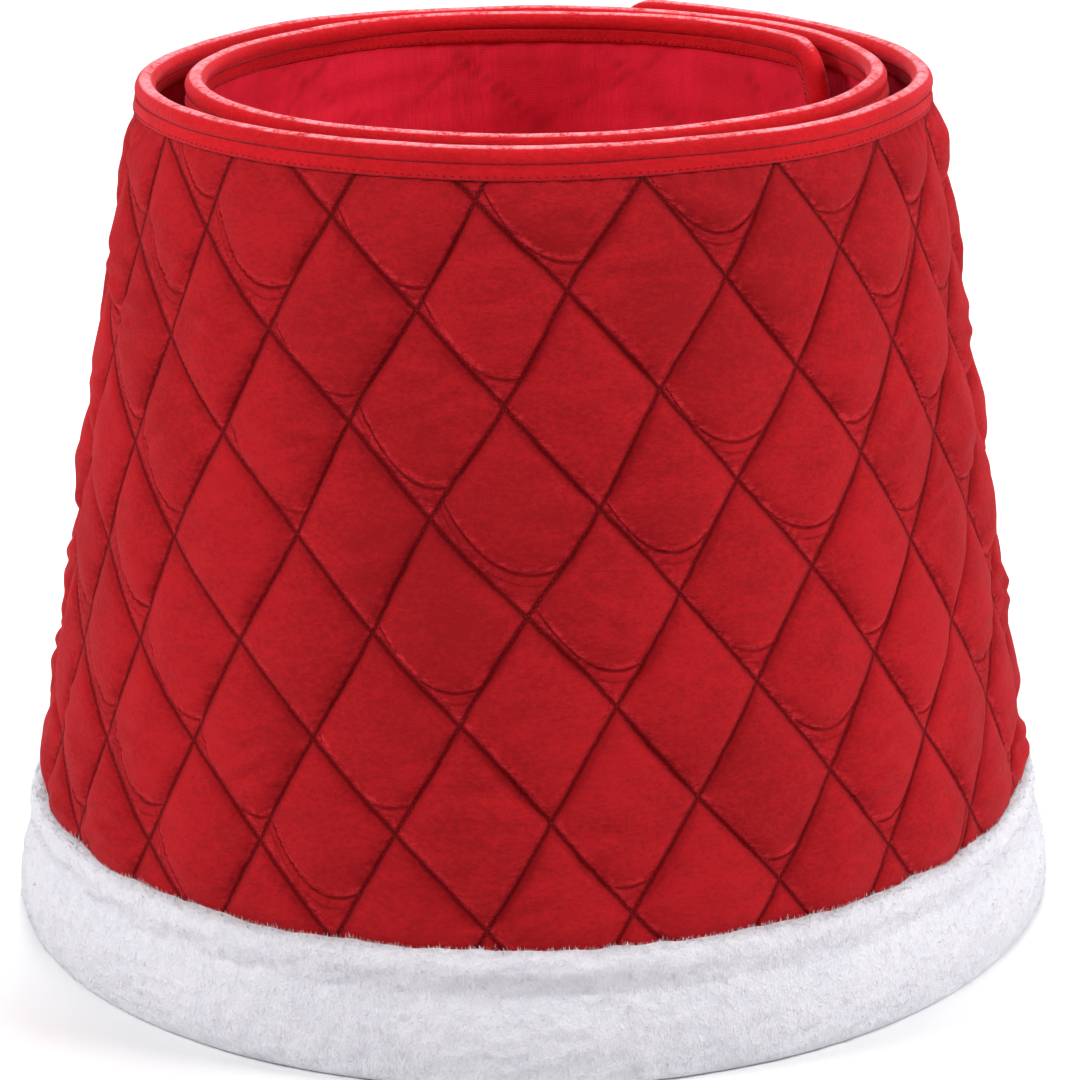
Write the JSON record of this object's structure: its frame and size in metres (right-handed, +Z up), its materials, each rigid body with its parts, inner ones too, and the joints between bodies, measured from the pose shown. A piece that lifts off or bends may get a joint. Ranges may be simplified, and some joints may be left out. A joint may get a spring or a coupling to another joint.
{
  "type": "tree skirt",
  "caption": "Quilted velvet tree skirt standing as a coiled, tapering collar, with a piped rim, a fur trim and tape-closed ends",
  "frame": {"origin": "on the floor, under the middle of the coil's box", "axes": "+Z up the coil's height; -Y faces the front of the standing coil; +X to the right seen from there"},
  "size_m": [0.5708, 0.6068, 0.455],
  "materials": {
    "velvet": "quilted crushed velvet, soft directional nap",
    "batting": "white polyester batting, sewn in",
    "lining": "plain woven lining with a low sheen",
    "binding": "velvet binding folded over a cord, topstitched",
    "cord": "twisted cotton filler cord",
    "fur": "short dense plush pile",
    "tape": "woven hook and loop tape"
  },
  "bodies": {
    "coil": {"velvet_face_main": "velvet", "batting_main": "batting", "lining_main": "lining", "rim_binding_main": "binding", "piping_cord_main": "cord", "fur_trim_main": "fur"},
    "outer_wrap": {"velvet_face_wrap": "velvet", "batting_wrap": "batting", "lining_wrap": "lining", "rim_binding_wrap": "binding", "piping_cord_wrap": "cord", "fur_trim_wrap": "fur"},
    "outer_tail": {"velvet_face_tail": "velvet", "batting_tail": "batting", "lining_tail": "lining", "rim_binding_tail": "binding", "piping_cord_tail": "cord", "fur_trim_tail": "fur", "hook_tape": "tape"},
    "inner_end": {"velvet_face_inner_end": "velvet", "batting_inner_end": "batting", "lining_inner_end": "lining", "rim_binding_inner_end": "binding", "piping_cord_inner_end": "cord", "fur_trim_inner_end": "fur", "loop_tape": "tape"}
  },
  "joints": [
    {"name": "wrap_bend", "type": "hinge", "parent": "coil", "child": "outer_wrap", "pos_m": [0.08384, -0.24817, 0.22475], "axis": [0.0555, -0.1531, -0.9867], "range_deg": [0, 50]},
    {"name": "tail_bend", "type": "hinge", "parent": "outer_wrap", "child": "outer_tail", "pos_m": [0.24812, 0.0218, 0.22475], "axis": [0.1616, 0.02, -0.9867], "range_deg": [0, 50]},
    {"name": "inner_end_bend", "type": "hinge", "parent": "coil", "child": "inner_end", "pos_m": [0.09454, 0.17615, 0.22475], "axis": [0.0684, 0.1284, -0.9894], "range_deg": [0, 18]}
  ]
}
